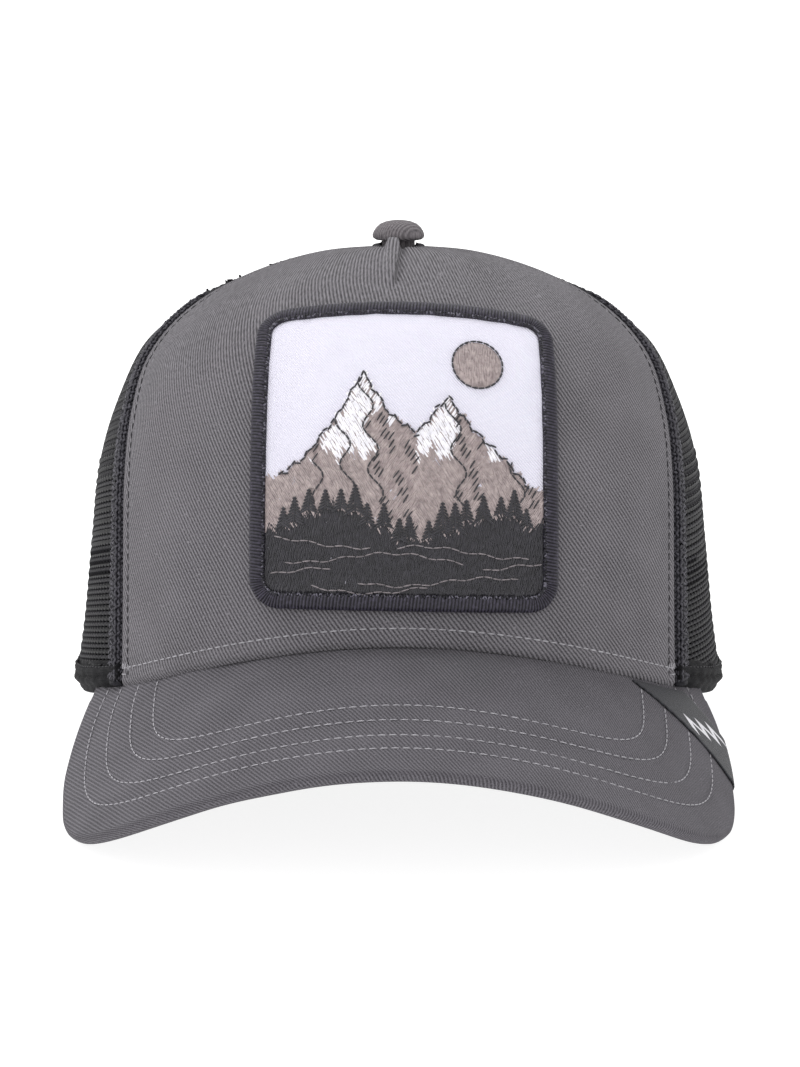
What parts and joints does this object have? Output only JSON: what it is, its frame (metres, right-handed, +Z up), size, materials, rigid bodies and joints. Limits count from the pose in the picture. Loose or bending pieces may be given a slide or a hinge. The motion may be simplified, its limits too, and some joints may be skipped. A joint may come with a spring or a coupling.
{
  "type": "trucker hat",
  "caption": "Trucker hat with a cloth front panel, net sides and back, curved visor, stitched patch and a plain snap strap across the back opening.",
  "frame": {"origin": "bottom centre of the hat's box, on the surface that it rests on", "axes": "+Z up, -Y to the front where the visor points, +X to the viewer's right when the hat is seen from the front"},
  "size_m": [0.1806, 0.2618, 0.1407],
  "materials": {
    "twill": "grey cotton twill",
    "net": "black knitted net",
    "black_cloth": "matt black cloth tape",
    "ribbon": "black woven satin ribbon",
    "patch_cloth": "white twill patch ground",
    "black_thread": "black embroidery thread with a sheen",
    "taupe_thread": "taupe embroidery thread with a sheen",
    "strap_plastic": "moulded black plastic"
  },
  "bodies": {
    "root": {"front_panel": "twill", "seam_band_left": "net", "seam_band_right": "net", "side_net_left": "net", "side_net_right": "net", "back_net_left": "net", "back_net_right": "net", "rim_hem_left": "net", "rim_hem_right": "net", "arch_binding": "black_cloth", "snap_strap": "strap_plastic", "sweatband": "black_cloth", "visor": "twill", "visor_tag": "ribbon", "top_button": "twill", "patch_border": "black_thread", "patch_ground": "patch_cloth", "patch_hills": "black_thread", "patch_peaks": "taupe_thread", "patch_sun": "taupe_thread"}
  },
  "joints": []
}
